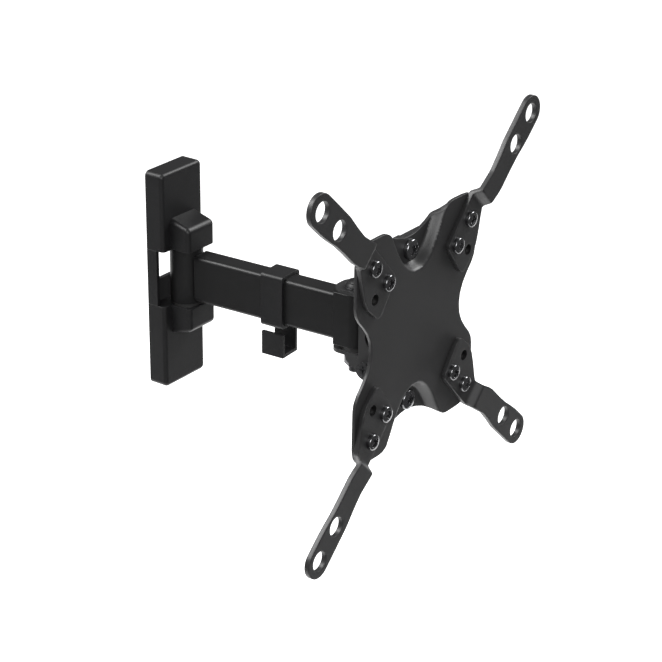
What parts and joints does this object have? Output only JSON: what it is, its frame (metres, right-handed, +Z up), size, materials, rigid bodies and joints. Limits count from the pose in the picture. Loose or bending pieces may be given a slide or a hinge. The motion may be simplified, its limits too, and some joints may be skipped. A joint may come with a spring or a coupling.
{
  "type": "tv wall mount",
  "caption": "Full-motion TV wall mount: swinging tube arm on a covered wall bracket, turning and tilting head, pressed screen plate with extension arms.",
  "frame": {"origin": "centre of the two wall screw holes, on the wall bracket's back face, level with the middle of the arm", "axes": "+Z up, +Y into the wall, +X to the right seen from the room; the room and the screen are towards -Y"},
  "size_m": [0.2202, 0.1821, 0.2202],
  "materials": {
    "plastic": "fine-grained black moulding",
    "coated_steel": "matt black powder coat",
    "black_screw": "smooth black oxide",
    "zinc_steel": "dark plated steel",
    "nylon": "black nylon"
  },
  "bodies": {
    "wall_side": {"wall_bracket": "coated_steel", "wall_cover": "plastic", "upper_knuckle_cap": "plastic", "lower_knuckle_cap": "plastic", "wall_pivot_bolt": "zinc_steel", "wall_pivot_nut": "zinc_steel", "wall_pivot_washers": "nylon"},
    "arm": {"wall_pivot_bushes": "nylon", "arm_barrel": "coated_steel", "arm_tube": "coated_steel", "arm_end_knuckle": "coated_steel", "head_pivot_bush": "nylon"},
    "clip": {"cable_clip": "plastic"},
    "head": {"head_pivot_bolt": "zinc_steel", "head_dome_cap": "plastic", "head_top_washer": "zinc_steel", "head_lower_washer": "nylon", "head_pivot_nut": "zinc_steel", "swivel_bracket": "coated_steel", "tilt_bolt": "black_screw", "tilt_nut": "zinc_steel", "tilt_washers": "nylon", "tilt_spacer": "zinc_steel"},
    "screen_side": {"tilt_bracket": "coated_steel", "vesa_plate": "coated_steel", "plate_bolts": "black_screw", "plate_nuts": "zinc_steel", "extension_arm_top_right": "coated_steel", "extension_arm_top_left": "coated_steel", "extension_arm_bottom_left": "coated_steel", "extension_arm_bottom_right": "coated_steel", "extension_arm_screws": "black_screw", "extension_arm_nuts": "zinc_steel"}
  },
  "joints": [
    {"name": "arm_swing", "type": "hinge", "parent": "wall_side", "child": "arm", "pos_m": [0, -0.015, 0], "axis": [0, 0, 1], "range_deg": [-93.3, 86.7]},
    {"name": "clip_slide", "type": "slide", "parent": "arm", "child": "clip", "axis": [0.0576, -0.9983, 0], "range_m": [-0.034, 0.027]},
    {"name": "head_turn", "type": "hinge", "parent": "arm", "child": "head", "pos_m": [0.00682, -0.1332, 0], "axis": [0, 0, 1], "range_deg": [-71.7, 78.3]},
    {"name": "head_tilt", "type": "hinge", "parent": "head", "child": "screen_side", "pos_m": [0.00682, -0.1486, -0.0236], "axis": [1, 0, 0], "range_deg": [-5, 15]}
  ]
}
